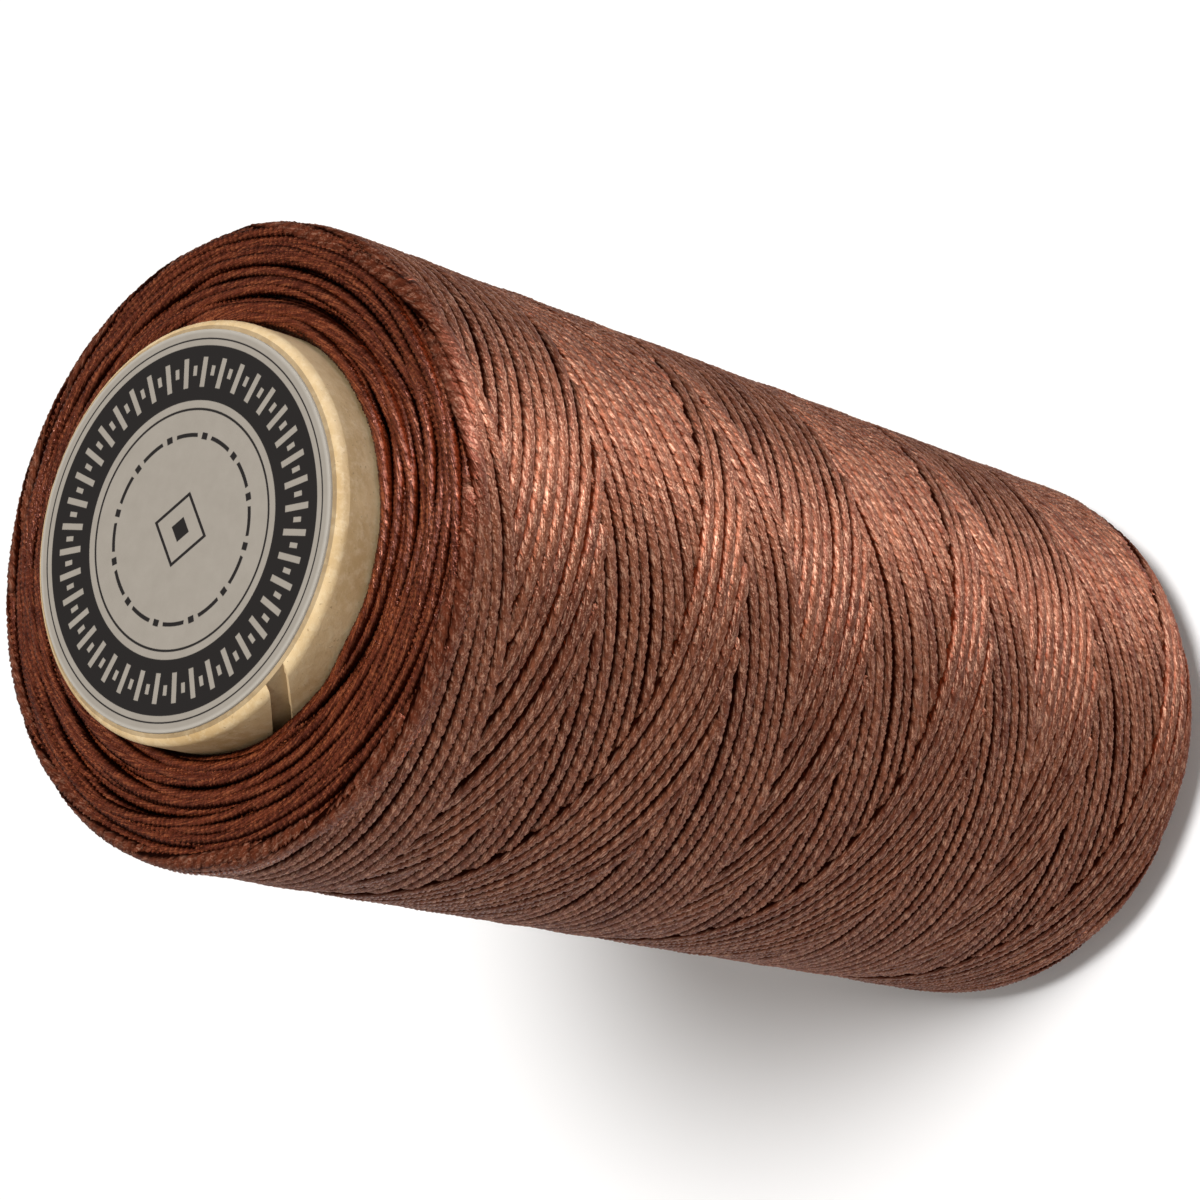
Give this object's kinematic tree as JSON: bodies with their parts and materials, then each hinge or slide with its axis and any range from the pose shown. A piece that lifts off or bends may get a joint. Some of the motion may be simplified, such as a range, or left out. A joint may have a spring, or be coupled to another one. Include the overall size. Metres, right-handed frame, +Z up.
{
  "type": "waxed thread spool",
  "caption": "Dark brown waxed leatherwork thread cross-wound on a spiral paper tube that stands on its open base end, with a round label over the nose.",
  "frame": {"origin": "centre of the tube's base end, on the surface the spool stands on", "axes": "+Z up along the spool's axis towards the labelled nose; +X and +Y are square to it"},
  "size_m": [0.0394, 0.0395, 0.086],
  "materials": {
    "tube_board": "matte grey-brown paperboard",
    "tube_paper": "smooth kraft paper, slight sheen",
    "label_film": "satin printed film",
    "waxed_thread": "waxed twisted polyester thread, soft sheen"
  },
  "bodies": {
    "root": {"tube_liner": "tube_board", "tube_body_plies": "tube_board", "tube_outer_ply": "tube_paper", "nose_label": "label_film", "thread_inner_layers": "waxed_thread", "thread_under_band_1": "waxed_thread", "thread_under_band_2": "waxed_thread", "thread_under_band_3": "waxed_thread", "thread_under_band_4": "waxed_thread", "thread_over_band_1": "waxed_thread", "thread_over_band_2": "waxed_thread", "thread_nose_turns": "waxed_thread", "thread_base_turns": "waxed_thread"}
  },
  "joints": []
}
